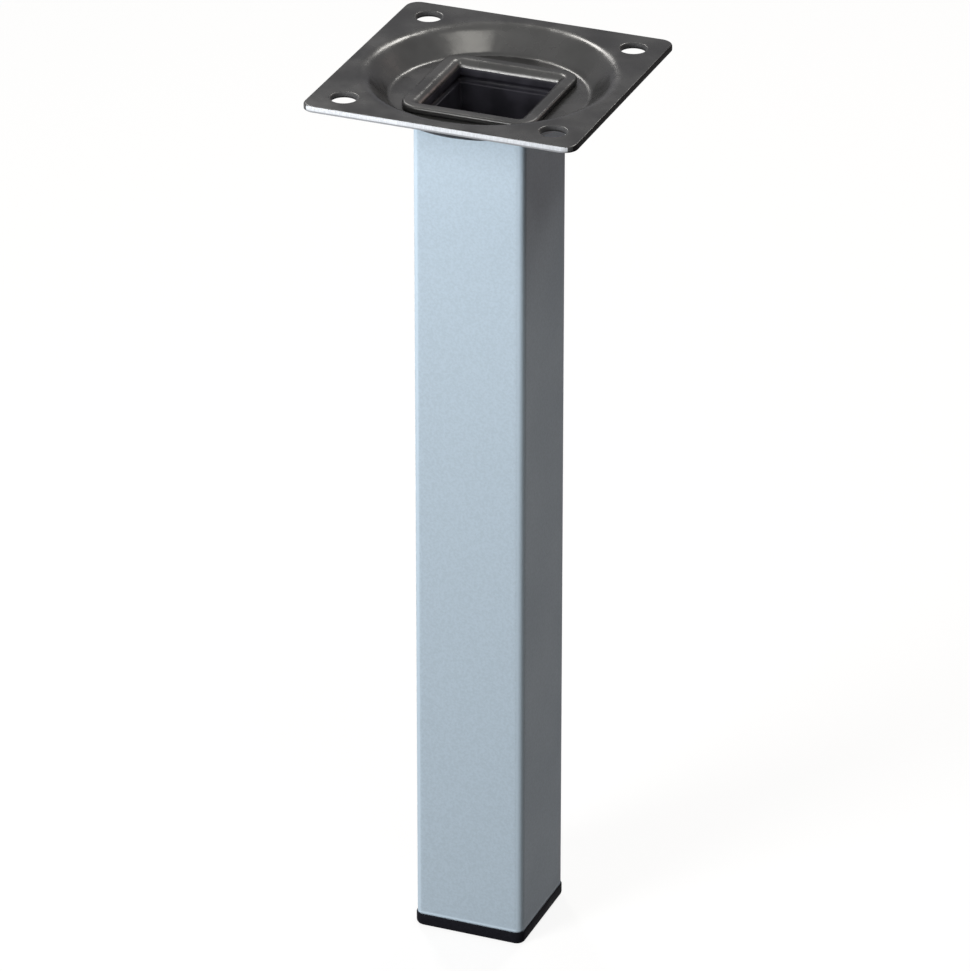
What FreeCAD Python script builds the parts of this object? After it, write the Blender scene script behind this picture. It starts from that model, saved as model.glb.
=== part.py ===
"""Square metal table leg: lacquered steel tube, pressed screw plate crimped on its top, plastic foot cap.

Millimetres. +Z is up. The origin is the middle of the foot's underside, where the leg stands on the floor.
"""

import FreeCAD, Part

import math
import os

# The leg as a whole
LEG_HEIGHT = 200.0  # floor to the plate's top face

# Square tube
TUBE_SIDE = 25.0
TUBE_WALL = 1.5
TUBE_INNER_RADIUS = 0.3  # corner radius of the bore

# Crimp that holds the plate: the tube's end flared over it, and a bead upset in the wall under it
FLARE_OVERHANG = 2.45  # how far the flare reaches out past the tube's face
FLARE_BEND_RADIUS = 0.6  # on the side of the wall that lies on the plate
FLARE_EDGE_RADIUS = 0.6
BEAD_LAND = 0.5  # flat of the bead, between its root and its round nose
BEAD_HEIGHT = 2.5
BEAD_ROOT_RADIUS = 0.5
CREASE_DEPTH = 0.8  # groove that the bead's fold leaves inside the bore
CREASE_HEIGHT = 1.4

# Pressed plate
PLATE_OVERHANG = 17.5  # how far the plate stands out past the tube's face
PLATE_CORNER_RADIUS = 3.0
SHEET = 1.25
SCREW_HOLE_DIAMETER = 5.5
SCREW_HOLE_INSET = 7.0  # plate edge to the hole's centre
RECESS_DEPTH = 5.0  # plate's top face to the recess floor
RECESS_WALL_SLOPE = 45.0  # degrees from the plate's plane
RECESS_RIM_BEND = 3.0  # bend radius under the rim, on the inside of the bend
RECESS_FLOOR_BEND = 2.0  # bend radius where the wall meets the floor, on the inside of the bend
FLARE_TO_BEND = 0.7  # room between the flare's corners and the floor's bend
TUBE_IN_PLATE = 0.1  # clearance round the tube in the plate's hole

# Foot cap
FLANGE_HEIGHT = 3.0
FLANGE_OVERHANG = 0.25  # how far the flange stands out past the tube's face
FLANGE_EDGE_RADIUS = 1.0
PLUG_DEPTH = 13.0
PLUG_WALL = 1.6
FIN_REACH = 0.4  # how far the fins stand out from the plug, to the bore
FIN_THICKNESS = 0.8
FIN_COUNT = 4

UP = FreeCAD.Vector(0, 0, 1)
ORIGIN = FreeCAD.Vector(0, 0, 0)

# Sizes that follow from the ones above
TUBE_HALF = TUBE_SIDE / 2
TUBE_CORNER_RADIUS = TUBE_INNER_RADIUS + TUBE_WALL
BORE_SIDE = TUBE_SIDE - 2 * TUBE_WALL
PLATE_SIDE = TUBE_SIDE + 2 * PLATE_OVERHANG
FLOOR_TOP = LEG_HEIGHT - RECESS_DEPTH
FLOOR_UNDERSIDE = FLOOR_TOP - SHEET
FLARE_CORNER_RADIUS = TUBE_CORNER_RADIUS + FLARE_OVERHANG
FLARE_REACH = (TUBE_HALF - TUBE_CORNER_RADIUS) * math.sqrt(2) + FLARE_CORNER_RADIUS
FLOOR_RADIUS = FLARE_REACH + FLARE_TO_BEND


def outline_face(edges):
    """Plane face inside a closed outline of lines and arcs."""
    return Part.Face(Part.Wire(Part.__sortEdges__([edge.toShape() for edge in edges])))


def line(start, end):
    """Straight edge between two points."""
    return Part.LineSegment(start, end)


def arc(centre, radius, start_degrees, end_degrees, point):
    """Arc in a section plane, from one angle to the other; point maps (across, up) to a place in space."""
    angles = [start_degrees, (start_degrees + end_degrees) / 2, end_degrees]
    places = []
    for degrees in angles:
        turn = math.radians(degrees)
        places.append(point(centre[0] + radius * math.cos(turn), centre[1] + radius * math.sin(turn)))
    return Part.Arc(*places)


def rounded_square(side, corner_radius, bottom, height):
    """Upright prism with a square section, rounded corners and its middle on the Z axis."""
    block = Part.makeBox(side, side, height, FreeCAD.Vector(-side / 2, -side / 2, bottom))
    upright = [edge for edge in block.Edges if abs(edge.tangentAt(edge.FirstParameter).z) > 0.5]
    return block.makeFillet(corner_radius, upright)


def swept_round_tube(section):
    """Solid made by carrying a wall section once round the tube's four sides and four corners."""
    straight = TUBE_HALF - TUBE_CORNER_RADIUS
    side = section.extrude(FreeCAD.Vector(0, 2 * straight, 0))
    corner_axis = FreeCAD.Vector(straight, straight, 0)
    corner_start = section.translated(FreeCAD.Vector(0, 2 * straight, 0))
    corner = corner_start.revolve(corner_axis, UP, 90)
    runs = []
    for quarter in range(4):
        for run in (side, corner):
            turned = run.copy()
            turned.rotate(ORIGIN, UP, 90 * quarter)
            runs.append(turned)
    return runs[0].multiFuse(runs[1:]).removeSplitter()


def tube_section():
    """Section of the tube's wall on its +X side: foot end, bead with its inner crease, and flared end."""

    def at(out, up):
        return FreeCAD.Vector(TUBE_HALF + out, TUBE_CORNER_RADIUS - TUBE_HALF, up)

    foot = FLANGE_HEIGHT
    bead_bottom = FLOOR_UNDERSIDE - BEAD_HEIGHT
    bead_middle = FLOOR_UNDERSIDE - BEAD_HEIGHT / 2
    nose = BEAD_HEIGHT / 2
    nose_out = BEAD_ROOT_RADIUS + BEAD_LAND
    bend_centre = (FLARE_BEND_RADIUS, FLOOR_TOP - FLARE_BEND_RADIUS)
    flare_top = FLOOR_TOP + TUBE_WALL
    edge_out = FLARE_OVERHANG - FLARE_EDGE_RADIUS
    edge_low = FLOOR_TOP + FLARE_EDGE_RADIUS
    edge_high = flare_top - FLARE_EDGE_RADIUS
    crease_top = at(-TUBE_WALL, bead_middle + CREASE_HEIGHT / 2)
    crease_bottom = at(-TUBE_WALL, bead_middle - CREASE_HEIGHT / 2)
    return outline_face(
        [
            line(at(-TUBE_WALL, foot), at(0, foot)),
            line(at(0, foot), at(0, bead_bottom - BEAD_ROOT_RADIUS)),
            arc((BEAD_ROOT_RADIUS, bead_bottom - BEAD_ROOT_RADIUS), BEAD_ROOT_RADIUS, 180, 90, at),
            line(at(BEAD_ROOT_RADIUS, bead_bottom), at(nose_out, bead_bottom)),
            arc((nose_out, bead_middle), nose, -90, 90, at),
            line(at(nose_out, FLOOR_UNDERSIDE), at(0, FLOOR_UNDERSIDE)),
            line(at(0, FLOOR_UNDERSIDE), at(0, bend_centre[1])),
            arc(bend_centre, FLARE_BEND_RADIUS, 180, 90, at),
            line(at(FLARE_BEND_RADIUS, FLOOR_TOP), at(edge_out, FLOOR_TOP)),
            arc((edge_out, edge_low), FLARE_EDGE_RADIUS, -90, 0, at),
            line(at(FLARE_OVERHANG, edge_low), at(FLARE_OVERHANG, edge_high)),
            arc((edge_out, edge_high), FLARE_EDGE_RADIUS, 0, 90, at),
            line(at(edge_out, flare_top), at(FLARE_BEND_RADIUS, flare_top)),
            arc(bend_centre, FLARE_BEND_RADIUS + TUBE_WALL, 90, 180, at),
            line(at(-TUBE_WALL, bend_centre[1]), crease_top),
            Part.Arc(crease_top, at(CREASE_DEPTH - TUBE_WALL, bead_middle), crease_bottom),
            line(crease_bottom, at(-TUBE_WALL, foot)),
        ]
    )


def leg_tube():
    """Lacquered tube, with the bead and the flare that hold the plate between them."""
    return swept_round_tube(tube_section())


def plate_section():
    """Half section of the pressed sheet: flat land, rim bend, sloping wall, floor bend and recess floor."""

    def at(radius, up):
        return FreeCAD.Vector(radius, 0, up)

    slope = math.radians(RECESS_WALL_SLOPE)
    rim_bend = RECESS_RIM_BEND + SHEET
    bends_drop = (rim_bend + RECESS_FLOOR_BEND) * (1 - math.cos(slope))
    bends_run = (rim_bend + RECESS_FLOOR_BEND) * math.sin(slope)
    wall_run = (RECESS_DEPTH - bends_drop) / math.tan(slope)
    rim_radius = FLOOR_RADIUS + bends_run + wall_run
    rim_centre = (rim_radius, LEG_HEIGHT - rim_bend)
    floor_centre = (FLOOR_RADIUS, FLOOR_TOP + RECESS_FLOOR_BEND)
    blank_radius = PLATE_SIDE

    def face_of_sheet(rim_arc_radius, floor_arc_radius, land_up, floor_up):
        """Edges of one face of the sheet, from the land inwards to the axis."""
        rim_arc = arc(rim_centre, rim_arc_radius, 90, 90 + RECESS_WALL_SLOPE, at)
        floor_arc = arc(floor_centre, floor_arc_radius, RECESS_WALL_SLOPE - 90, -90, at)
        return [
            line(at(blank_radius, land_up), at(rim_radius, land_up)),
            rim_arc,
            line(rim_arc.EndPoint, floor_arc.StartPoint),
            floor_arc,
            line(at(FLOOR_RADIUS, floor_up), at(0, floor_up)),
        ]

    land_underside = LEG_HEIGHT - SHEET
    top_face = face_of_sheet(rim_bend, RECESS_FLOOR_BEND, LEG_HEIGHT, FLOOR_TOP)
    underside = face_of_sheet(RECESS_RIM_BEND, RECESS_FLOOR_BEND + SHEET, land_underside, FLOOR_UNDERSIDE)
    ends = [
        line(at(blank_radius, LEG_HEIGHT), at(blank_radius, land_underside)),
        line(at(0, FLOOR_TOP), at(0, FLOOR_UNDERSIDE)),
    ]
    return outline_face(top_face + underside + ends)


def mounting_plate():
    """Pressed screw plate: square blank, round recess, hole for the tube and a screw hole in each corner."""
    sheet = plate_section().revolve(ORIGIN, UP, 360)
    below = FLOOR_UNDERSIDE - SHEET
    plate = sheet.common(rounded_square(PLATE_SIDE, PLATE_CORNER_RADIUS, below, RECESS_DEPTH + 3 * SHEET))

    hole_side = TUBE_SIDE + 2 * TUBE_IN_PLATE
    hole_radius = TUBE_CORNER_RADIUS + TUBE_IN_PLATE
    plate = plate.cut(rounded_square(hole_side, hole_radius, below, 3 * SHEET))
    hole_rim = [
        edge
        for edge in plate.Edges
        if abs(edge.BoundBox.ZMin - FLOOR_TOP) < 1e-6
        and abs(edge.BoundBox.ZMax - FLOOR_TOP) < 1e-6
        and max(abs(edge.BoundBox.XMax), abs(edge.BoundBox.YMax)) < hole_side / 2 + 1e-6
    ]
    plate = plate.makeFillet(FLARE_BEND_RADIUS + TUBE_IN_PLATE, hole_rim)

    reach = PLATE_SIDE / 2 - SCREW_HOLE_INSET
    for x in (-reach, reach):
        for y in (-reach, reach):
            start = FreeCAD.Vector(x, y, LEG_HEIGHT - 2 * SHEET)
            plate = plate.cut(Part.makeCylinder(SCREW_HOLE_DIAMETER / 2, 3 * SHEET, start, UP))
    return plate


def foot_cap():
    """Moulded tube insert: a flange that covers the tube's end, and a hollow plug with fins to the bore."""
    flange_side = TUBE_SIDE + 2 * FLANGE_OVERHANG
    flange = rounded_square(flange_side, TUBE_CORNER_RADIUS + FLANGE_OVERHANG, 0, FLANGE_HEIGHT)
    lower_edges = [edge for edge in flange.Edges if edge.BoundBox.ZMax < 1e-6]
    cap = flange.makeFillet(FLANGE_EDGE_RADIUS, lower_edges)

    plug_side = BORE_SIDE - 2 * FIN_REACH
    cap = cap.fuse(rounded_square(plug_side, TUBE_INNER_RADIUS, FLANGE_HEIGHT, PLUG_DEPTH))
    pitch = PLUG_DEPTH / FIN_COUNT
    for number in range(FIN_COUNT):
        bottom = FLANGE_HEIGHT + (number + 1) * pitch - 2 * FIN_THICKNESS
        cap = cap.fuse(rounded_square(BORE_SIDE, TUBE_INNER_RADIUS, bottom, FIN_THICKNESS))
    hollow_side = plug_side - 2 * PLUG_WALL
    cap = cap.cut(rounded_square(hollow_side, TUBE_INNER_RADIUS, FLANGE_HEIGHT, PLUG_DEPTH))
    return cap.removeSplitter()


PIECES = {
    "mounting_plate": mounting_plate,
    "leg_tube": leg_tube,
    "foot_cap": foot_cap,
}


def main():
    """Builds each piece and writes it to its own STEP file."""
    os.makedirs("parts", exist_ok=True)
    for name, make in PIECES.items():
        shape = make()
        shape.exportStep(f"parts/{name}.step")
        box = shape.optimalBoundingBox()
        size = f"{box.XLength:.2f} x {box.YLength:.2f} x {box.ZLength:.2f}"
        state = f"{len(shape.Solids)} solid, valid {shape.isValid()}"
        print(f"{name}: {state}, {size} mm, {shape.Volume:.1f} mm3")


main()
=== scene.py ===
"""Looks of a square metal table leg: pressed screw plate, lacquered square tube and moulded foot cap.

Metres. +Z is up, and the origin is the middle of the foot's underside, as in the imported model.
"""

import logging
import math
from dataclasses import dataclass, field
from enum import Enum
from functools import cache

import bmesh
import bpy
from bmesh.types import BMEdge, BMFace, BMVert, BMesh
from bpy.types import Material, Node, NodeSocket, NodeTree, Object
from mathutils import Matrix, Vector


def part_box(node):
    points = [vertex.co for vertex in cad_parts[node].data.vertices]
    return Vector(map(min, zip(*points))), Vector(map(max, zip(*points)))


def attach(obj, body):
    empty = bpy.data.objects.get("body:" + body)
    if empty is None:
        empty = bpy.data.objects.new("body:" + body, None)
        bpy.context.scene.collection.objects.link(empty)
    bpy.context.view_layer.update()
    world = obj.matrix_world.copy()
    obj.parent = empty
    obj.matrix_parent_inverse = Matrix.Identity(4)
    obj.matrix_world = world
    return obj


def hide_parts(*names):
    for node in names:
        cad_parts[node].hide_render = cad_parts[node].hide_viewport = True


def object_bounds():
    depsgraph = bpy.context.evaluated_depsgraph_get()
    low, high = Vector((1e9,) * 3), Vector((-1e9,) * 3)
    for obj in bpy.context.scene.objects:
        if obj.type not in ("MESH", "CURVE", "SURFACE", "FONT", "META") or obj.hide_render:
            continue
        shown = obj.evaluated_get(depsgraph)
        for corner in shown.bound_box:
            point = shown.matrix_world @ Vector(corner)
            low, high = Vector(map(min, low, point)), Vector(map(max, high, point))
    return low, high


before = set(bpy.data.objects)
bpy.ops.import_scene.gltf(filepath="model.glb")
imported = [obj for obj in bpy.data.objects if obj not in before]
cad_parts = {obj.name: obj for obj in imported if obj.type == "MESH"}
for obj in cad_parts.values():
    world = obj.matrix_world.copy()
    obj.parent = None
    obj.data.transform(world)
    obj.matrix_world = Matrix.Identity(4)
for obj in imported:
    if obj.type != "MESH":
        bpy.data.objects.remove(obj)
CAD_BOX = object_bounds()

MM = 0.001
MERGE_DISTANCE = 0.001 * MM
BODY = "root"
QUARTER_TURN = 90.0  # degrees
HALF_TURN = 180.0
RIGHT_ANGLE = math.radians(QUARTER_TURN)
SQUARE_SIDES = 4
FULL_TURN = SQUARE_SIDES * RIGHT_ANGLE
ROUND_PROFILE = 0.5  # bevel profile of a circular arc
SAME_MATERIAL = -1  # a bevel's faces take the material beside them

Place = tuple[float, float]  # across and up in a section
Range = tuple[float, float]
Axes = tuple[float, float, float]  # a value for each of X, Y and Z
Colour = tuple[float, float, float]
Geometry = BMVert | BMEdge | BMFace

WHITE: Colour = (1.0, 1.0, 1.0)

log = logging.getLogger("table_leg")


class Slot(Enum):
    """Material slots that the record names."""

    PLATE = "plate_steel"
    TUBE = "silver_lacquer"
    FOOT = "black_plastic"


def only(kind: type, geometry: list[Geometry]) -> list[Geometry]:
    """The vertices, edges or faces in what an operator made."""
    return [item for item in geometry if isinstance(item, kind)]


def opaque(colour: Colour) -> tuple[float, float, float, float]:
    """A colour with full alpha, as a colour socket holds it."""
    return (*colour, 1.0)


def toned(colour: Colour, factor: float) -> Colour:
    """A colour made darker or lighter."""
    return tuple(channel * factor for channel in colour)


@dataclass
class SectionPen:
    """Draws a wall's section as a chain of edges in an upright plane.

    A place is (across, up): across runs along X and up along Z.
    """

    mesh: BMesh
    depth: float = 0.0  # the plane's place on Y
    tip: BMVert | None = None

    def point(self, place: Place) -> Vector:
        """A place in the section as a point in space."""
        return Vector((place[0], self.depth, place[1]))

    def start(self, place: Place) -> None:
        """Puts the pen down."""
        self.tip = bmesh.ops.create_vert(self.mesh, co=self.point(place))["vert"][0]

    def line(self, place: Place, margin: float = 0.0) -> None:
        """Draws a straight run.

        Args:
            place: Where the run ends.
            margin: How far from each end the run is divided, so that its flat stays flat when shaded.
        """
        begin = self.tip.co.copy()
        end = self.point(place)
        reach = (end - begin).length
        stops = [1.0]
        if reach > 2 * margin > 0:
            stops = [margin / reach, 1 - margin / reach, 1.0]
        for share in stops:
            self.tip = bmesh.ops.extrude_vert_indiv(self.mesh, verts=[self.tip])["verts"][0]
            self.tip.co = begin.lerp(end, share)

    def arc(self, centre: Place, degrees: float, steps: int) -> None:
        """Draws a round bend.

        Args:
            centre: Middle of the bend.
            degrees: How far the pen turns, anticlockwise seen along +Y.
            steps: Number of edges.
        """
        turned = bmesh.ops.spin(
            self.mesh,
            geom=[self.tip],
            cent=self.point(centre),
            axis=(0, -1, 0),
            angle=math.radians(degrees),
            steps=steps,
        )
        self.tip = only(BMVert, turned["geom_last"])[0]


def rounded_square(mesh: BMesh, half: float, radius: float, height: float, steps: int) -> BMFace:
    """Makes a level face with a square outline and round corners, its middle on the Z axis.

    Args:
        mesh: Where the face goes.
        half: Half of the square's side.
        radius: Corner radius.
        height: The face's place on Z.
        steps: Number of edges in a corner.

    Returns:
        The face, with its normal up.
    """
    at_height = Matrix.Translation((0, 0, height))
    made = bmesh.ops.create_grid(mesh, x_segments=1, y_segments=1, size=half, matrix=at_height)
    rounded = bmesh.ops.bevel(
        mesh,
        geom=made["verts"],
        offset=radius,
        offset_type="OFFSET",
        affect="VERTICES",
        segments=steps,
        profile=ROUND_PROFILE,
        material=SAME_MATERIAL,
    )
    corners = set(rounded["verts"])
    return next(face for face in mesh.faces if corners.issuperset(face.verts))


def bevel_edges(mesh: BMesh, edges: list[BMEdge], width: float, steps: int) -> None:
    """Rounds edges.

    Args:
        mesh: The edges' mesh.
        edges: What is rounded.
        width: How far the rounding reaches on each side.
        steps: Number of faces across it.
    """
    bmesh.ops.bevel(
        mesh,
        geom=edges,
        offset=width,
        offset_type="OFFSET",
        affect="EDGES",
        segments=steps,
        profile=ROUND_PROFILE,
        material=SAME_MATERIAL,
        clamp_overlap=True,
    )


def close_seams(mesh: BMesh) -> None:
    """Merges doubled vertices and turns the faces outwards."""
    bmesh.ops.remove_doubles(mesh, verts=mesh.verts[:], dist=MERGE_DISTANCE)
    bmesh.ops.recalc_face_normals(mesh, faces=mesh.faces[:])


def make_object(name: str, mesh: BMesh, materials: list[Material]) -> Object:
    """Turns a finished bmesh into a smooth-shaded object at the origin.

    Args:
        name: The object's name.
        mesh: The shape, which is freed.
        materials: Materials in the order of the faces' material indices.

    Returns:
        The object, linked to the scene.
    """
    for face in mesh.faces:
        face.smooth = True
    data = bpy.data.meshes.new(name)
    mesh.to_mesh(data)
    mesh.free()
    for material in materials:
        data.materials.append(material)
    made = bpy.data.objects.new(name, data)
    bpy.context.scene.collection.objects.link(made)
    return made


class NodeSketch:
    """A node tree that is drawn node by node."""

    def __init__(self, tree: NodeTree) -> None:
        """Starts from an empty tree."""
        self.tree = tree
        self.tree.nodes.clear()

    def add(self, kind: str, values: dict[str, object] | None = None, **settings: object) -> Node:
        """Adds a node.

        Args:
            kind: The node's type name.
            values: Values of its unlinked input sockets, by name.
            settings: The node's own properties.

        Returns:
            The node.
        """
        node = self.tree.nodes.new(kind)
        for name, setting in settings.items():
            setattr(node, name, setting)
        for socket, value in (values or {}).items():
            node.inputs[socket].default_value = value
        return node

    def wire(self, source: NodeSocket, target: NodeSocket) -> None:
        """Links an output to an input."""
        self.tree.links.new(source, target)

    def between(self, mask: NodeSocket, low: float, high: float) -> NodeSocket:
        """Spreads a mask from 0 to 1 over a range of values.

        Args:
            mask: What varies over the surface.
            low: Value where the mask is 0.
            high: Value where the mask is 1.

        Returns:
            The value's socket.
        """
        node = self.add("ShaderNodeMapRange", {"To Min": low, "To Max": high})
        self.wire(mask, node.inputs["Value"])
        return node.outputs["Result"]

    def blend(self, mask: NodeSocket, low: Colour | NodeSocket, high: Colour) -> NodeSocket:
        """Blends two colours by a mask.

        Args:
            mask: What varies over the surface.
            low: Colour where the mask is 0, plain or one that varies too.
            high: Colour where the mask is 1.

        Returns:
            The colour's socket.
        """
        node = self.add("ShaderNodeMix", data_type="RGBA")
        self.wire(mask, node.inputs["Factor"])
        if isinstance(low, NodeSocket):
            self.wire(low, node.inputs["A"])
        else:
            node.inputs["A"].default_value = opaque(low)
        node.inputs["B"].default_value = opaque(high)
        return node.outputs["Result"]

    def combine(self, operation: str, first: NodeSocket, second: NodeSocket) -> NodeSocket:
        """Combines two values.

        Args:
            operation: Name of the Math node's operation.
            first: First value.
            second: Second value.

        Returns:
            The result's socket.
        """
        node = self.add("ShaderNodeMath", operation=operation)
        self.wire(first, node.inputs[0])
        self.wire(second, node.inputs[1])
        return node.outputs["Value"]

    def ramp(self, value: NodeSocket, zero: float, one: float) -> NodeSocket:
        """Turns a value into a soft mask.

        Args:
            value: What varies over the surface.
            zero: Value where the mask is 0.
            one: Value where the mask is 1.

        Returns:
            The mask's socket.
        """
        node = self.add(
            "ShaderNodeMapRange", {"From Min": zero, "From Max": one}, interpolation_type="SMOOTHSTEP"
        )
        self.wire(value, node.inputs["Value"])
        return node.outputs["Result"]

    def coordinate(self, axis: str) -> NodeSocket:
        """Gives the surface's place along one axis of its object.

        Args:
            axis: X, Y or Z.

        Returns:
            The coordinate's socket.
        """
        place = self.add("ShaderNodeTexCoord")
        parts = self.add("ShaderNodeSeparateXYZ")
        self.wire(place.outputs["Object"], parts.inputs["Vector"])
        return parts.outputs[axis]


class SurfaceSketch(NodeSketch):
    """A material's nodes, drawn round one Principled shader."""

    def __init__(self, material: Material, values: dict[str, object]) -> None:
        """Starts from the shader alone.

        Args:
            material: The material, whose nodes are replaced.
            values: Values of the shader's unlinked inputs, by name.
        """
        material.use_nodes = True
        super().__init__(material.node_tree)
        self.shader = self.add("ShaderNodeBsdfPrincipled", values)
        self.output = self.add("ShaderNodeOutputMaterial")
        self.wire(self.shader.outputs["BSDF"], self.output.inputs["Surface"])

    def feed(self, source: NodeSocket, name: str) -> None:
        """Links an output to the shader's input of that name."""
        self.wire(source, self.shader.inputs[name])


class Detail(Enum):
    """How many octaves a noise has, and so how fine it gets."""

    PLAIN = 1.0
    FINE = 2.0
    FINER = 3.0
    FINEST = 4.0


class SharedEffect(Enum):
    """Surface effects that several finishes use, each a node group that is built once."""

    GRAIN = "Fine grain"
    CLOUDS = "Soft clouds"
    LINES = "Drawn lines"

    @cache
    def group(self) -> NodeTree:
        """The effect's node group, built when it is first asked for.

        Returns:
            The group, with the effect from 0 to 1 in its output Mask.
        """
        tree = bpy.data.node_groups.new(self.value, "ShaderNodeTree")
        sketch = NodeSketch(tree)
        tree.interface.new_socket("Scale", in_out="INPUT", socket_type="NodeSocketVector")
        tree.interface.new_socket("Detail", in_out="INPUT", socket_type="NodeSocketFloat")
        tree.interface.new_socket("Mask", in_out="OUTPUT", socket_type="NodeSocketFloat")
        start = sketch.add("NodeGroupInput")
        end = sketch.add("NodeGroupOutput")
        place = sketch.add("ShaderNodeTexCoord")
        stretch = sketch.add("ShaderNodeMapping", vector_type="POINT")
        sketch.wire(place.outputs["Object"], stretch.inputs["Vector"])
        sketch.wire(start.outputs["Scale"], stretch.inputs["Scale"])
        noise = sketch.add("ShaderNodeTexNoise", {"Scale": 1.0, "Roughness": self.roughness})
        sketch.wire(stretch.outputs["Vector"], noise.inputs["Vector"])
        sketch.wire(start.outputs["Detail"], noise.inputs["Detail"])
        sketch.wire(sketch.ramp(noise.outputs["Fac"], *self.contrast), end.inputs["Mask"])
        return tree

    @property
    def roughness(self) -> float:
        """How much the finer octaves of the noise show."""
        return {SharedEffect.GRAIN: 0.6, SharedEffect.CLOUDS: 0.45, SharedEffect.LINES: 0.7}[self]

    @property
    def contrast(self) -> Range:
        """Noise values that become 0 and 1."""
        return {
            SharedEffect.GRAIN: (0.3, 0.7),
            SharedEffect.CLOUDS: (0.32, 0.68),
            SharedEffect.LINES: (0.3, 0.7),
        }[self]

    def place(self, sketch: NodeSketch, scale: Axes, detail: Detail) -> NodeSocket:
        """Places the effect in a material.

        Args:
            sketch: The material's nodes.
            scale: Features for each metre along X, Y and Z.
            detail: How fine it gets.

        Returns:
            The effect's mask.
        """
        values = {"Scale": scale, "Detail": detail.value}
        node = sketch.add("ShaderNodeGroup", values, node_tree=self.group())
        return node.outputs["Mask"]


def evenly(size: float) -> Axes:
    """Features for each metre along X, Y and Z, where they have the same size all ways."""
    return (1 / size, 1 / size, 1 / size)


def drawn(width: float, length: float, along: str) -> Axes:
    """Features for each metre along X, Y and Z, where they are lines along one axis.

    Args:
        width: A line's width.
        length: Its length.
        along: The axis, X, Y or Z.

    Returns:
        The three numbers of features.
    """
    return tuple(1 / (length if axis == along else width) for axis in "XYZ")


@dataclass(frozen=True)
class Finish:
    """A finish: its colour, how it shines, and what varies over it."""

    name: str
    colour: Colour
    roughness: Range  # where it is most polished, and where it is least
    metallic: float = 0.0
    specular: float = 0.5
    edge_tint: Colour = WHITE  # share of the reflection that is left at a glancing angle
    bump_height: float = 0.0

    @cache
    def material(self) -> Material:
        """Makes the material, once for all the pieces that have this finish.

        Returns:
            The material.
        """
        made = bpy.data.materials.new(self.name)
        shine = {
            "Metallic": self.metallic,
            "Specular IOR Level": self.specular,
            "Specular Tint": opaque(self.edge_tint),
        }
        self.dress(SurfaceSketch(made, shine))
        return made

    def dress(self, sketch: SurfaceSketch) -> None:
        """Wires what varies over the surface; each finish has its own."""
        raise NotImplementedError

    def vary_colour(self, sketch: SurfaceSketch, mask: NodeSocket, share: float) -> NodeSocket:
        """Lightens and darkens the colour.

        Args:
            sketch: The material's nodes.
            mask: What varies over the surface.
            share: How much darker the colour is where the mask is 0, and lighter where it is 1.

        Returns:
            The colour's socket.
        """
        colour = sketch.blend(mask, toned(self.colour, 1 - share), toned(self.colour, 1 + share))
        sketch.feed(colour, "Base Color")
        return colour

    def tone_over(self, sketch: SurfaceSketch, mask: NodeSocket, below: NodeSocket, tone: float) -> None:
        """Lays a lighter or darker tone of the colour over part of the surface.

        Args:
            sketch: The material's nodes.
            mask: 1 where the tone covers what is below.
            below: The colour so far.
            tone: Brightness against the finish's colour.
        """
        sketch.feed(sketch.blend(mask, below, toned(self.colour, tone)), "Base Color")

    def vary_polish(self, sketch: SurfaceSketch, mask: NodeSocket) -> None:
        """Makes the surface smoother where a mask is 0 and rougher where it is 1."""
        sketch.feed(sketch.between(mask, *self.roughness), "Roughness")

    def raise_surface(self, sketch: SurfaceSketch, height: NodeSocket) -> None:
        """Gives the surface its fine relief.

        Args:
            sketch: The material's nodes.
            height: The relief, from 0 to 1.
        """
        bump = sketch.add("ShaderNodeBump", {"Strength": 1.0, "Distance": self.bump_height})
        sketch.wire(height, bump.inputs["Height"])
        sketch.feed(bump.outputs["Normal"], "Normal")


@dataclass(frozen=True)
class SilverLacquer(Finish):
    """Satin silver lacquer with fine flake and a little orange peel, with a painted highlight along the
    tube's edges and foot end.
    """

    flake: float = 0.05  # share by which the flakes lighten and darken the colour
    flake_size: float = 0.55 * MM
    cloud_size: float = 14.0 * MM
    peel_size: float = 1.1 * MM
    edge_highlight: float = 1.36  # how much lighter the painted highlight makes the edges and the foot end
    corner_highlight_share: float = 0.6  # strength of the painted highlight along the long edges against the foot end
    corner_sum: Range = (23.45 * MM, 23.8 * MM)  # |x| + |y| where the painted highlight starts and is full
    end_height: Range = (4.0 * MM, 3.4 * MM)  # the same for the height of the tube's foot end

    def dress(self, sketch: SurfaceSketch) -> None:
        """Wires flake, clouds, orange peel and a painted highlight along the edges.

        Args:
            sketch: The material's nodes.
        """
        flakes = SharedEffect.GRAIN.place(sketch, evenly(self.flake_size), Detail.FINE)
        clouds = SharedEffect.CLOUDS.place(sketch, evenly(self.cloud_size), Detail.FINER)
        peel = SharedEffect.GRAIN.place(sketch, evenly(self.peel_size), Detail.PLAIN)
        colour = self.vary_colour(sketch, flakes, self.flake)
        # painted highlight: the colour is made lighter along the corners and the foot end
        self.tone_over(sketch, self.edges(sketch), colour, self.edge_highlight)
        self.vary_polish(sketch, clouds)
        self.raise_surface(sketch, peel)

    def edges(self, sketch: NodeSketch) -> NodeSocket:
        """Finds the tube's four long edges and its foot end, where the highlight is painted.

        Args:
            sketch: The material's nodes.

        Returns:
            A mask that is 1 along the edges.
        """
        out = []
        for axis in ("X", "Y"):
            size = sketch.add("ShaderNodeMath", operation="ABSOLUTE")
            sketch.wire(sketch.coordinate(axis), size.inputs[0])
            out.append(size.outputs["Value"])
        corners = sketch.ramp(sketch.combine("ADD", *out), *self.corner_sum)
        end = sketch.ramp(sketch.coordinate("Z"), *self.end_height)
        return sketch.combine("MAXIMUM", sketch.between(corners, 0.0, self.corner_highlight_share), end)


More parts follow.
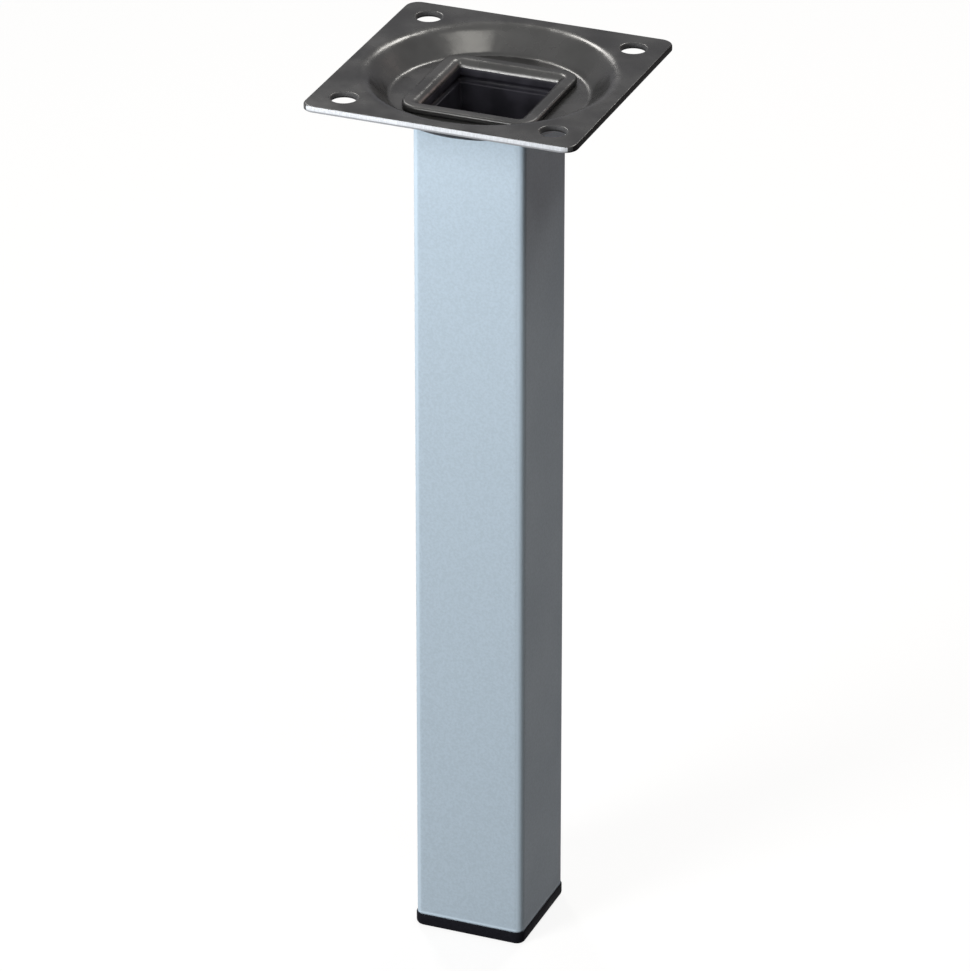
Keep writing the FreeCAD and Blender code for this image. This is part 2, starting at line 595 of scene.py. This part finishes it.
@dataclass(frozen=True)
class PlateSteel(Finish):
    """Rolled sheet, its dark colour a painted reflection, polished by the press, with rolling lines,
    smudges and a slightly wavy surface.
    """

    smudge: float = 0.1  # share by which smudges lighten and darken the colour
    smudge_size: float = 9.0 * MM
    wave_size: float = 3.6 * MM
    line_share: float = 0.03  # height of the rolling lines against the waves
    line_width: float = 0.25 * MM
    line_length: float = 25.0 * MM

    def dress(self, sketch: SurfaceSketch) -> None:
        """Wires smudges into the colour and the polish, and waves and rolling lines into the relief.

        Args:
            sketch: The material's nodes.
        """
        smudges = SharedEffect.CLOUDS.place(sketch, evenly(self.smudge_size), Detail.FINEST)
        waves = SharedEffect.CLOUDS.place(sketch, evenly(self.wave_size), Detail.PLAIN)
        lines = SharedEffect.LINES.place(sketch, drawn(self.line_width, self.line_length, "X"), Detail.FINE)
        self.vary_colour(sketch, smudges, self.smudge)
        self.vary_polish(sketch, smudges)
        relief = sketch.combine("ADD", waves, sketch.between(lines, 0.0, self.line_share))
        self.raise_surface(sketch, relief)


@dataclass(frozen=True)
class SheetEdge(Finish):
    """Cut edge of the sheet, matt, with upright shear marks and a darker lower zone: partly its torn zone,
    partly painted shade under the edge.
    """

    mark: float = 0.12  # share by which the marks lighten and darken the colour
    mark_width: float = 0.18 * MM
    mark_height: float = 3.0 * MM
    torn_zone_and_shade: float = 0.45  # tone of the lower zone against the rest: the torn zone's dullness and painted shade
    torn_zone_and_shade_depth: Range = (0.78 * MM, 0.94 * MM)  # below the plate's top, where it starts and is full

    def dress(self, sketch: SurfaceSketch) -> None:
        """Wires shear marks into the colour, the polish and the relief, and darkens the lower zone: the
        torn zone with painted shade.

        Args:
            sketch: The material's nodes.
        """
        marks = SharedEffect.LINES.place(sketch, drawn(self.mark_width, self.mark_height, "Z"), Detail.FINE)
        colour = self.vary_colour(sketch, marks, self.mark)
        start, full = (CAD_BOX[1].z - depth for depth in self.torn_zone_and_shade_depth)
        # partly painted shade: the lower side of the edge is darkened for the torn zone and for the shade
        # under the edge
        torn_zone_and_shade = sketch.ramp(sketch.coordinate("Z"), start, full)
        self.tone_over(sketch, torn_zone_and_shade, colour, self.torn_zone_and_shade)
        self.vary_polish(sketch, marks)
        self.raise_surface(sketch, marks)


@dataclass(frozen=True)
class DrawnBore(Finish):
    """Steel inside the tube, darkened as painted shade, drawn lengthways, with stains."""

    stain: float = 0.3  # share by which stains lighten and darken the colour
    stain_size: float = 5.0 * MM
    line_width: float = 0.3 * MM
    line_length: float = 40.0 * MM

    def dress(self, sketch: SurfaceSketch) -> None:
        """Wires stains into the colour and the polish, and drawing lines into the relief.

        Args:
            sketch: The material's nodes.
        """
        stains = SharedEffect.CLOUDS.place(sketch, evenly(self.stain_size), Detail.FINEST)
        lines = SharedEffect.LINES.place(sketch, drawn(self.line_width, self.line_length, "Z"), Detail.FINE)
        self.vary_colour(sketch, stains, self.stain)
        self.vary_polish(sketch, stains)
        self.raise_surface(sketch, lines)


@dataclass(frozen=True)
class BlackMoulding(Finish):
    """Black moulded plastic with the fine grain of its mould."""

    grain: float = 0.15  # share by which the grain lightens and darkens the colour
    grain_size: float = 0.35 * MM
    cloud_size: float = 6.0 * MM

    def dress(self, sketch: SurfaceSketch) -> None:
        """Wires mould grain into the colour and the relief, and clouds into the polish.

        Args:
            sketch: The material's nodes.
        """
        grain = SharedEffect.GRAIN.place(sketch, evenly(self.grain_size), Detail.FINE)
        clouds = SharedEffect.CLOUDS.place(sketch, evenly(self.cloud_size), Detail.FINER)
        self.vary_colour(sketch, grain, self.grain)
        self.vary_polish(sketch, clouds)
        self.raise_surface(sketch, grain)


# partly painted light: neutral silver, with a bluish cast that stands in for bluish light on the front
LACQUER = SilverLacquer(
    "satin_silver", (0.415, 0.5, 0.575), (0.42, 0.5), specular=0.03, bump_height=0.004 * MM
)
# painted reflection: the bare steel's colour and edge tint are made dark to stand in for the dark
# surroundings that it reflects
STEEL = PlateSteel(
    "pressed_steel",
    (0.075, 0.0745, 0.0735),
    (0.2, 0.3),
    metallic=0.65,
    specular=0.1,
    edge_tint=(0.36, 0.36, 0.39),
    bump_height=0.03 * MM,
)
SHEARED = SheetEdge("sheared_edge", (0.5, 0.52, 0.55), (0.5, 0.65), specular=0.1, bump_height=0.01 * MM)
# painted shade: the walls of the screw holes are darkened for the shade inside them
PUNCHED_IN_SHADE = SheetEdge("punched_edge_in_painted_shade", (0.06, 0.06, 0.062), (0.45, 0.6), specular=0.1, bump_height=0.01 * MM)
# painted shade: a near black copy of the cut edge, for the edges that face away from the front
EDGE_IN_SHADE = SheetEdge(
    "sheet_edge_in_painted_shade", (0.016, 0.016, 0.017), (0.5, 0.65), specular=0.02, bump_height=0.01 * MM
)
# painted shade: the bore's colour is near black for the shade inside the tube
BORE_IN_SHADE = DrawnBore("tube_bore_in_painted_shade", (0.024, 0.023, 0.03), (0.45, 0.6), specular=0.15, bump_height=0.003 * MM)
PLASTIC = BlackMoulding(
    "moulded_black", (0.011, 0.011, 0.0145), (0.45, 0.6), specular=0.012, bump_height=0.01 * MM
)


@dataclass
class ScrewPlate:
    """Pressed screw plate: flat land with four screw holes, round recess, square hole for the tube."""

    node: str = "mounting_plate"
    corner_radius: float = 3.0 * MM
    sheet: float = 1.25 * MM
    screw_hole_radius: float = 2.75 * MM
    screw_hole_inset: float = 7.0 * MM
    recess_slope: float = 45.0  # degrees from the plate's plane
    rim_bend: float = 4.25 * MM  # radius on the top side
    floor_bend: float = 2.0 * MM
    floor_radius: float = 20.08 * MM  # flat of the recess floor
    tube_hole_half: float = 12.6 * MM
    tube_hole_radius: float = 1.9 * MM
    tube_hole_edge: float = 0.7 * MM  # rounding under the flare
    rolled_edge: float = 0.4 * MM  # rounding that the punch leaves on top
    burred_edge: float = 0.1 * MM  # and below
    margin: float = 0.5 * MM  # strip beside each edge and bend that keeps the flats flat
    flat_enough: float = 0.9  # upright part of a normal, above which a face belongs to the land
    corner_steps: int = 8
    hole_steps: int = 40
    bend_steps: int = 10
    edge_steps: int = 4
    turn_steps: int = 144
    finishes: tuple[Finish, ...] = (STEEL, PUNCHED_IN_SHADE, SHEARED, EDGE_IN_SHADE)
    half: float = field(init=False)
    top: float = field(init=False)
    floor: float = field(init=False)

    def __post_init__(self) -> None:
        """Takes the outer sizes from the frame."""
        low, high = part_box(self.node)
        self.half = high.x
        self.top = high.z
        self.floor = low.z + self.sheet

    @property
    def rim_radius(self) -> float:
        """Where the flat land ends and the rim's bend starts.

        Returns:
            The radius that the slope, both bends and the recess's depth come to.
        """
        slope = math.radians(self.recess_slope)
        bends = self.rim_bend + self.floor_bend
        wall_drop = self.top - self.floor - bends * (1 - math.cos(slope))
        return self.floor_radius + bends * math.sin(slope) + wall_drop / math.tan(slope)

    def build(self) -> Object:
        """Presses, cuts and thickens the sheet.

        Returns:
            The plate.
        """
        mesh = bmesh.new()
        rim, floor_rim = self.press_recess(mesh)
        self.cut_land(mesh, rim)
        self.cut_floor(mesh, floor_rim)
        close_seams(mesh)
        if sum(face.normal.z * face.calc_area() for face in mesh.faces) < 0:
            bmesh.ops.reverse_faces(mesh, faces=mesh.faces[:])
        bmesh.ops.solidify(mesh, geom=mesh.faces[:], thickness=self.sheet)
        self.round_edges(mesh)
        self.mark_cut_edges(mesh)
        return make_object("screw_plate", mesh, [finish.material() for finish in self.finishes])

    def press_recess(self, mesh: BMesh) -> tuple[list[BMEdge], list[BMEdge]]:
        """Spins the recess: rim bend, sloping wall and floor bend.

        Args:
            mesh: Where the recess goes.

        Returns:
            The edges round its rim and round its floor.
        """
        slope = math.radians(self.recess_slope)
        floor_centre = (self.floor_radius, self.floor + self.floor_bend)
        wall_foot = (
            floor_centre[0] + self.floor_bend * math.sin(slope),
            floor_centre[1] - self.floor_bend * math.cos(slope),
        )
        pen = SectionPen(mesh)
        pen.start((self.rim_radius + self.margin, self.top))
        pen.line((self.rim_radius, self.top))
        pen.arc((self.rim_radius, self.top - self.rim_bend), self.recess_slope, self.bend_steps)
        pen.line(wall_foot, self.margin)
        pen.arc(floor_centre, -self.recess_slope, self.bend_steps)
        pen.line((self.floor_radius - self.margin, self.floor))
        bmesh.ops.spin(
            mesh,
            geom=mesh.verts[:] + mesh.edges[:],
            cent=(0, 0, 0),
            axis=(0, 0, 1),
            angle=FULL_TURN,
            steps=self.turn_steps,
            use_merge=True,
        )
        open_edges = [edge for edge in mesh.edges if edge.is_boundary]
        middle = (self.top + self.floor) / 2
        rim = [edge for edge in open_edges if edge.verts[0].co.z > middle]
        floor_rim = [edge for edge in open_edges if edge.verts[0].co.z < middle]
        return rim, floor_rim

    def cut_land(self, mesh: BMesh, rim: list[BMEdge]) -> None:
        """Fills the flat land between the outline, the screw holes and the rim.

        Args:
            mesh: Where the land goes.
            rim: Edges round the recess.
        """
        outline = rounded_square(mesh, self.half, self.corner_radius, self.top, self.corner_steps)
        bmesh.ops.inset_region(
            mesh, faces=[outline], thickness=self.margin, use_boundary=True, use_even_offset=True
        )
        borders = rim + list(outline.edges)
        bmesh.ops.delete(mesh, geom=[outline], context="FACES_ONLY")
        reach = self.half - self.screw_hole_inset
        for x in (-reach, reach):
            for y in (-reach, reach):
                borders += self.ring_screw_hole(mesh, Matrix.Translation((x, y, self.top)))
        bmesh.ops.triangle_fill(mesh, use_beauty=True, edges=borders, normal=(0, 0, 1))

    def ring_screw_hole(self, mesh: BMesh, place: Matrix) -> list[BMEdge]:
        """Makes the strip round one screw hole.

        Args:
            mesh: Where the strip goes.
            place: The hole's middle.

        Returns:
            The strip's outer edges.
        """
        rings = []
        for radius in (self.screw_hole_radius, self.screw_hole_radius + self.margin):
            circle = bmesh.ops.create_circle(mesh, radius=radius, segments=self.hole_steps, matrix=place)
            rings.append(list(dict.fromkeys(edge for vert in circle["verts"] for edge in vert.link_edges)))
        bmesh.ops.bridge_loops(mesh, edges=rings[0] + rings[1])
        return rings[1]

    def cut_floor(self, mesh: BMesh, floor_rim: list[BMEdge]) -> None:
        """Fills the recess floor between its bend and the hole for the tube.

        Args:
            mesh: Where the floor goes.
            floor_rim: Edges round the floor's flat.
        """
        strip = self.tube_hole_edge + self.margin
        hole = rounded_square(
            mesh, self.tube_hole_half + strip, self.tube_hole_radius + strip, self.floor, self.corner_steps
        )
        ring = bmesh.ops.inset_region(
            mesh, faces=[hole], thickness=strip, use_boundary=True, use_even_offset=True
        )["faces"]
        ring_edges = [edge for face in ring for edge in face.edges if edge.is_boundary]
        bmesh.ops.delete(mesh, geom=[hole], context="FACES_ONLY")
        bmesh.ops.triangle_fill(mesh, use_beauty=True, edges=floor_rim + ring_edges, normal=(0, 0, 1))

    def round_edges(self, mesh: BMesh) -> None:
        """Rounds the cut edges: wide under the flare, rolled on top, slightly burred below.

        Args:
            mesh: The thickened sheet.
        """
        sharp = [edge for edge in mesh.edges if edge.calc_face_angle(0.0) > RIGHT_ANGLE / 2]
        groups: dict[float, list[BMEdge]] = {}
        for edge in sharp:
            height = edge.verts[0].co.z
            on_top = min(abs(height - self.top), abs(height - self.floor)) < self.sheet / 2
            in_floor = abs(height - self.top) > abs(height - self.floor)
            width = self.burred_edge
            if on_top:
                width = self.tube_hole_edge if in_floor else self.rolled_edge
            groups.setdefault(width, []).append(edge)
        for width, edges in groups.items():
            bevel_edges(mesh, edges, width, self.edge_steps)

    def mark_cut_edges(self, mesh: BMesh) -> None:
        """Finishes the cut edges: dark grey as painted shade in the screw holes, bare at the front, near
        black as painted shade on the other sides.

        Args:
            mesh: The plate.
        """
        for face in mesh.faces:
            middle = face.calc_center_median()
            if math.hypot(middle.x, middle.y) < self.rim_radius + self.margin:
                continue
            if abs(face.normal.z) > self.flat_enough:
                continue
            if max(abs(middle.x), abs(middle.y)) < self.half - self.margin:
                finish = PUNCHED_IN_SHADE
            # front-facing cut edges keep the bare colour; the other sides take the painted shade
            elif -face.normal.y > abs(face.normal.x):
                finish = SHEARED
            else:
                finish = EDGE_IN_SHADE
            face.material_index = self.finishes.index(finish)


@dataclass
class LegTube:
    """Square tube: lacquered outside, with the bead and the flare that hold the plate."""

    node: str = "leg_tube"
    side: float = 25.0 * MM
    wall: float = 1.5 * MM
    inner_radius: float = 0.3 * MM
    flare_bend: float = 0.6 * MM  # radius under the flare
    flare_edge: float = 0.6 * MM  # rounding of the flare's cut edge
    sheet: float = 1.25 * MM  # plate that the crimp holds
    bead_land: float = 0.5 * MM  # flat of the bead below the plate
    bead_height: float = 2.5 * MM
    bead_root: float = 0.5 * MM  # hollow rounding below the bead
    crease_depth: float = 0.8 * MM  # groove that the bead leaves in the bore
    crease_height: float = 1.4 * MM
    margin: float = 0.4 * MM  # strip beside each bend that keeps the flats flat
    bend_steps: int = 8
    corner_steps: int = 10
    finishes: tuple[Finish, ...] = (LACQUER, STEEL, BORE_IN_SHADE)
    foot_end: float = field(init=False)
    flare_top: float = field(init=False)
    flare_half: float = field(init=False)

    def __post_init__(self) -> None:
        """Takes the ends and the flare's reach from the frame."""
        low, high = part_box(self.node)
        self.foot_end = low.z
        self.flare_top = high.z
        self.flare_half = high.x

    @property
    def half(self) -> float:
        """Half of the tube's side."""
        return self.side / 2

    @property
    def straight(self) -> float:
        """Half of the straight stretch between two corners."""
        return self.half - self.wall - self.inner_radius

    @property
    def floor_top(self) -> float:
        """Top of the plate's floor, which the flare lies on."""
        return self.flare_top - self.wall

    def build(self) -> Object:
        """Draws the wall's section and carries it round the tube.

        Returns:
            The tube.
        """
        mesh = bmesh.new()
        self.draw_section(mesh)
        self.carry_round(mesh)
        close_seams(mesh)
        self.mark_bare_steel(mesh)
        return make_object("square_tube", mesh, [finish.material() for finish in self.finishes])

    def draw_section(self, mesh: BMesh) -> None:
        """Draws the wall's section on the +X side, from the foot up the outside and down the bore.

        Args:
            mesh: Where the section goes.
        """
        outer = self.half
        inner = self.half - self.wall
        bead_top = self.floor_top - self.sheet
        bead_bottom = bead_top - self.bead_height
        bead_middle = bead_top - self.bead_height / 2
        nose = outer + self.bead_root + self.bead_land
        bend_centre = (outer + self.flare_bend, self.floor_top - self.flare_bend)
        edge = self.flare_half - self.flare_edge

        pen = SectionPen(mesh, -self.straight)
        pen.start((inner, self.foot_end))
        pen.line((outer, self.foot_end))
        pen.line((outer, bead_bottom - self.bead_root), self.margin)
        pen.arc((outer + self.bead_root, bead_bottom - self.bead_root), -QUARTER_TURN, self.bend_steps)
        pen.line((nose, bead_bottom))
        pen.arc((nose, bead_middle), HALF_TURN, 2 * self.bend_steps)
        pen.line((outer, bead_top))
        pen.line((outer, bend_centre[1]))
        pen.arc(bend_centre, -QUARTER_TURN, self.bend_steps)
        pen.line((edge, self.floor_top), self.margin)
        pen.arc((edge, self.floor_top + self.flare_edge), QUARTER_TURN, self.bend_steps)
        pen.line((self.flare_half, self.flare_top - self.flare_edge))
        pen.arc((edge, self.flare_top - self.flare_edge), QUARTER_TURN, self.bend_steps)
        pen.line((bend_centre[0], self.flare_top), self.margin)
        pen.arc(bend_centre, QUARTER_TURN, 2 * self.bend_steps)
        chord = self.crease_height / 2
        crease_radius = (chord**2 + self.crease_depth**2) / (2 * self.crease_depth)
        crease_centre = inner + self.crease_depth - crease_radius
        crease_turn = 2 * math.degrees(math.atan2(chord, inner - crease_centre))
        pen.line((inner, bead_middle + chord), self.margin)
        pen.arc((crease_centre, bead_middle), -crease_turn, 2 * self.bend_steps)
        pen.line((inner, self.foot_end), self.margin)

    def carry_round(self, mesh: BMesh) -> None:
        """Carries the section along each side and round each corner.

        Args:
            mesh: The section's mesh.
        """
        edges = mesh.edges[:]
        for quarter in range(SQUARE_SIDES):
            turn = Matrix.Rotation(quarter * RIGHT_ANGLE, 3, "Z")
            for run in (self.margin, 2 * (self.straight - self.margin), self.margin):
                grown = bmesh.ops.extrude_edge_only(mesh, edges=edges)["geom"]
                bmesh.ops.translate(mesh, vec=turn @ Vector((0, run, 0)), verts=only(BMVert, grown))
                edges = only(BMEdge, grown)
            turned = bmesh.ops.spin(
                mesh,
                geom=edges,
                cent=turn @ Vector((self.straight, self.straight, 0)),
                axis=(0, 0, 1),
                angle=RIGHT_ANGLE,
                steps=self.corner_steps,
            )
            edges = only(BMEdge, turned["geom_last"])

    def mark_bare_steel(self, mesh: BMesh) -> None:
        """Leaves the flare bare steel and the bore darkened as painted shade, both without lacquer.

        Args:
            mesh: The tube.
        """
        for face in mesh.faces:
            middle = face.calc_center_median()
            deep_inside = max(abs(middle.x), abs(middle.y)) < self.half - self.wall / 2
            if middle.z > self.floor_top:
                face.material_index = self.finishes.index(STEEL)
            elif deep_inside or face.normal.xy.dot(middle.xy) < 0:
                face.material_index = self.finishes.index(BORE_IN_SHADE)


@dataclass
class FootCap:
    """Moulded insert: a flange that covers the tube's end, and a hollow plug with fins to the bore."""

    node: str = "foot_cap"
    flange_height: float = 3.0 * MM
    flange_corner: float = 2.05 * MM
    sole_edge: float = 1.0 * MM  # rounding round the sole
    flange_edge: float = 0.15 * MM  # rounding beside the tube's end
    plug_half: float = 10.6 * MM
    plug_corner: float = 0.3 * MM
    plug_wall: float = 1.6 * MM
    fin_reach: float = 0.4 * MM  # how far the fins stand out from the plug
    fin_thickness: float = 0.8 * MM
    fin_count: int = 4
    margin: float = 0.5 * MM  # strip inside the sole's rounding
    corner_steps: int = 8
    sole_steps: int = 8
    edge_steps: int = 3
    flange_half: float = field(init=False)
    sole: float = field(init=False)
    plug_depth: float = field(init=False)

    def __post_init__(self) -> None:
        """Takes the outer sizes from the frame."""
        low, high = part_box(self.node)
        self.flange_half = high.x
        self.sole = low.z
        self.plug_depth = high.z - low.z - self.flange_height

    def build(self) -> Object:
        """Moulds the flange and the plug, and rounds the flange's edges.

        Returns:
            The foot cap.
        """
        mesh = bmesh.new()
        sole = rounded_square(mesh, self.flange_half, self.flange_corner, self.sole, self.corner_steps)
        sole_edges = list(sole.edges)
        top = self.raised(mesh, sole, self.flange_height, kept=True)
        top_edges = list(top.edges)
        bmesh.ops.delete(mesh, geom=[top], context="FACES_ONLY")
        self.raise_plug(mesh, top_edges)
        self.narrowed(mesh, sole, 1 - (self.sole_edge + self.margin) / self.flange_half)
        bevel_edges(mesh, sole_edges, self.sole_edge, self.sole_steps)
        bevel_edges(mesh, top_edges, self.flange_edge, self.edge_steps)
        close_seams(mesh)
        return make_object("foot_insert", mesh, [PLASTIC.material()])

    def raise_plug(self, mesh: BMesh, flange_edges: list[BMEdge]) -> None:
        """Raises the plug from the flange, hollows it and spreads its fins.

        Args:
            mesh: The flange, open at the top.
            flange_edges: Edges round its opening.
        """
        shoulder = self.sole + self.flange_height
        top = rounded_square(mesh, self.plug_half, self.plug_corner, shoulder, self.corner_steps)
        bmesh.ops.bridge_loops(mesh, edges=flange_edges + list(top.edges))
        fins = []
        gap = self.plug_depth / self.fin_count - self.fin_thickness
        lead_in = self.fin_thickness  # plain stretch above the last fin, which the first gap makes room for
        for number in range(self.fin_count):
            top = self.raised(mesh, top, gap if number else gap - lead_in)
            known = set(mesh.faces)
            top = self.raised(mesh, top, self.fin_thickness)
            fins.append([face for face in mesh.faces if face not in known and face is not top])
        top = self.raised(mesh, top, lead_in)
        top = self.narrowed(mesh, top, 1 - self.plug_wall / self.plug_half)
        self.raised(mesh, top, -self.plug_depth)
        spread = (self.plug_half + self.fin_reach) / self.plug_half
        for sides in fins:
            grown = self.grown(mesh, sides)
            bmesh.ops.scale(mesh, vec=(spread, spread, 1), verts=only(BMVert, grown))

    @staticmethod
    def grown(mesh: BMesh, faces: list[BMFace], kept: bool = False) -> list[Geometry]:
        """Extrudes faces, which stay in their place for now.

        Args:
            mesh: The faces' mesh.
            faces: The faces.
            kept: Whether the first faces stay as well, to close the shape.

        Returns:
            What was made.
        """
        made = bmesh.ops.extrude_face_region(mesh, geom=faces)["geom"]
        if not kept:
            bmesh.ops.delete(mesh, geom=faces, context="FACES_ONLY")
        return made

    @classmethod
    def raised(cls, mesh: BMesh, face: BMFace, rise: float, kept: bool = False) -> BMFace:
        """Extrudes a level face up or down.

        Args:
            mesh: The face's mesh.
            face: The face.
            rise: How far it goes up.
            kept: Whether the first face stays as well.

        Returns:
            The face at its new height.
        """
        grown = cls.grown(mesh, [face], kept)
        bmesh.ops.translate(mesh, vec=(0, 0, rise), verts=only(BMVert, grown))
        return only(BMFace, grown)[0]

    @classmethod
    def narrowed(cls, mesh: BMesh, face: BMFace, share: float) -> BMFace:
        """Splits a level face into a frame and a smaller face inside it.

        Args:
            mesh: The face's mesh.
            face: The face.
            share: Size of the smaller face against the first.

        Returns:
            The smaller face.
        """
        grown = cls.grown(mesh, [face])
        bmesh.ops.scale(mesh, vec=(share, share, 1), verts=only(BMVert, grown))
        return only(BMFace, grown)[0]


@dataclass(frozen=True)
class SoftLamp:
    """Oval soft lamp that the camera doesn't see."""

    name: str
    toward: Axes  # direction from the leg to the lamp
    distance: float
    size: tuple[float, float]  # width and height
    radiance: float
    tint: Colour
    aim_height: float  # height on the leg that the lamp faces

    def hang(self) -> None:
        """Puts the lamp up, facing the leg."""
        data = bpy.data.lights.new(self.name, "AREA")
        data.shape = "ELLIPSE"
        data.size, data.size_y = self.size
        area = math.pi / 4 * data.size * data.size_y
        data.energy = self.radiance * math.pi * area
        data.color = self.tint
        lamp = bpy.data.objects.new(self.name, data)
        bpy.context.scene.collection.objects.link(lamp)
        away = Vector(self.toward).normalized()
        lamp.location = Vector((0, 0, self.aim_height)) + away * self.distance
        lamp.rotation_euler = away.to_track_quat("Z", "Y").to_euler()
        lamp.visible_camera = False


@dataclass(frozen=True)
class PhotoCamera:
    """Camera at the photograph's viewing angle."""

    azimuth: float = 21.82  # degrees round from the front, towards +X
    elevation: float = 26.92
    distance: float = 1.403
    aim: Axes = (-0.00106, 0.0, 0.10415)
    lens: float = 244.0  # focal length in millimetres

    def stand(self) -> None:
        """Puts the camera in the scene."""
        data = bpy.data.cameras.new("photo_camera")
        data.lens = self.lens
        camera = bpy.data.objects.new("photo_camera", data)
        bpy.context.scene.collection.objects.link(camera)
        round_z, up = math.radians(self.azimuth), math.radians(self.elevation)
        level = math.cos(up)
        away = Vector((math.sin(round_z) * level, -math.cos(round_z) * level, math.sin(up)))
        camera.location = Vector(self.aim) + away * self.distance
        camera.rotation_euler = away.to_track_quat("Z", "Y").to_euler()
        bpy.context.scene.camera = camera


@dataclass
class Studio:
    """Pale floor, white surroundings and soft lamps."""

    floor_half: float = 3.0
    floor_drop: float = 0.05 * MM  # keeps the floor clear of the foot's sole
    floor_glow: float = 0.86  # glow that makes the floor white to look at
    floor_colour: Colour = (0.16, 0.16, 0.16)
    ambient: float = 0.04  # light of the surroundings
    lamps: tuple[SoftLamp, ...] = (
        SoftLamp(
            "key", toward=(-0.47, -0.854, 0.225), distance=0.694, size=(0.29, 0.25),
            radiance=26.0, tint=WHITE, aim_height=0.128,
        ),
        SoftLamp(
            "accent", toward=(-0.3, -0.94, 0.3), distance=0.118, size=(0.078, 0.046),
            radiance=7.8, tint=WHITE, aim_height=0.212,
        ),
        SoftLamp(
            "overhead", toward=(0.37, -0.3, 0.88), distance=0.8, size=(0.42, 0.38),
            radiance=5.0, tint=(1.0, 0.98, 0.92), aim_height=0.2,
        ),
        SoftLamp(
            "back_right", toward=(0.05, 0.705, 0.707), distance=0.8, size=(0.14, 0.26),
            radiance=25.0, tint=(1.0, 0.98, 0.93), aim_height=0.2,
        ),
        SoftLamp(
            "back_left", toward=(-0.5, 0.6, 0.62), distance=0.8, size=(0.14, 0.26),
            radiance=25.0, tint=(1.0, 0.98, 0.93), aim_height=0.2,
        ),
        SoftLamp(
            "side_fill", toward=(0.6, 0.75, 0.28), distance=0.9, size=(0.34, 0.45),
            radiance=2.6, tint=(1.0, 0.69, 0.61), aim_height=0.1,
        ),
    )

    def set_up(self) -> None:
        """Lays the floor, whitens the surroundings, hangs the lamps and puts up the camera."""
        self.lay_floor()
        self.whiten_surroundings()
        for lamp in self.lamps:
            lamp.hang()
        PhotoCamera().stand()
        bpy.context.scene.view_settings.view_transform = "Standard"

    @staticmethod
    def seen(sketch: NodeSketch) -> NodeSocket:
        """Tells the rays that show the background from those that only light the leg.

        Args:
            sketch: Nodes of the floor or of the world.

        Returns:
            1 for what the camera sees, directly, in a reflection or through glass, and 0 for the rest.
        """
        rays = sketch.add("ShaderNodeLightPath").outputs
        outside = sketch.combine("MAXIMUM", rays["Is Camera Ray"], rays["Is Glossy Ray"])
        return sketch.combine("MAXIMUM", outside, rays["Is Transmission Ray"])

    def lay_floor(self) -> None:
        """Makes a pale floor that takes the leg's shadow and is clear from below."""
        made = bpy.data.materials.new("pale_floor")
        matt = {
            "Base Color": opaque(self.floor_colour),
            "Roughness": 1.0,
            "Specular IOR Level": 0.0,
            "Emission Color": opaque(WHITE),
        }
        sketch = SurfaceSketch(made, matt)
        sketch.feed(sketch.between(self.seen(sketch), 0.0, self.floor_glow), "Emission Strength")
        clear = sketch.add("ShaderNodeBsdfTransparent")
        side = sketch.add("ShaderNodeNewGeometry")
        sides = sketch.add("ShaderNodeMixShader")
        sketch.wire(side.outputs["Backfacing"], sides.inputs["Fac"])
        sketch.wire(sketch.shader.outputs["BSDF"], sides.inputs[1])
        sketch.wire(clear.outputs["BSDF"], sides.inputs[2])
        sketch.wire(sides.outputs["Shader"], sketch.output.inputs["Surface"])
        mesh = bmesh.new()
        level = Matrix.Translation((0, 0, CAD_BOX[0].z - self.floor_drop))
        bmesh.ops.create_grid(mesh, x_segments=1, y_segments=1, size=self.floor_half, matrix=level)
        make_object("floor", mesh, [made])

    def whiten_surroundings(self) -> None:
        """Makes the surroundings white to look at and dim as a light."""
        world = bpy.data.worlds.new("white_surroundings")
        world.use_nodes = True
        bpy.context.scene.world = world
        sketch = NodeSketch(world.node_tree)
        light = sketch.add("ShaderNodeBackground", {"Color": opaque(WHITE)})
        sketch.wire(sketch.between(self.seen(sketch), self.ambient, 1.0), light.inputs["Strength"])
        output = sketch.add("ShaderNodeOutputWorld")
        sketch.wire(light.outputs["Background"], output.inputs["Surface"])


def place(piece: Object, node: str, slot: Slot) -> None:
    """Puts a finished piece in its solid's place on the leg.

    Args:
        piece: The finished piece.
        node: The solid that it stands for.
        slot: The record's material slot; not used.
    """
    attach(piece, BODY)
    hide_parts(node)
    log.info("%s: %d faces, stands for %s", piece.name, len(piece.data.polygons), node)


def main() -> None:
    """Builds the pieces in order, then the studio."""
    logging.basicConfig(level=logging.INFO, format="%(name)s: %(message)s")
    plate = ScrewPlate()
    place(plate.build(), plate.node, Slot.PLATE)
    tube = LegTube()
    place(tube.build(), tube.node, Slot.TUBE)
    foot = FootCap()
    place(foot.build(), foot.node, Slot.FOOT)
    Studio().set_up()


if __name__ == "__main__":
    main()
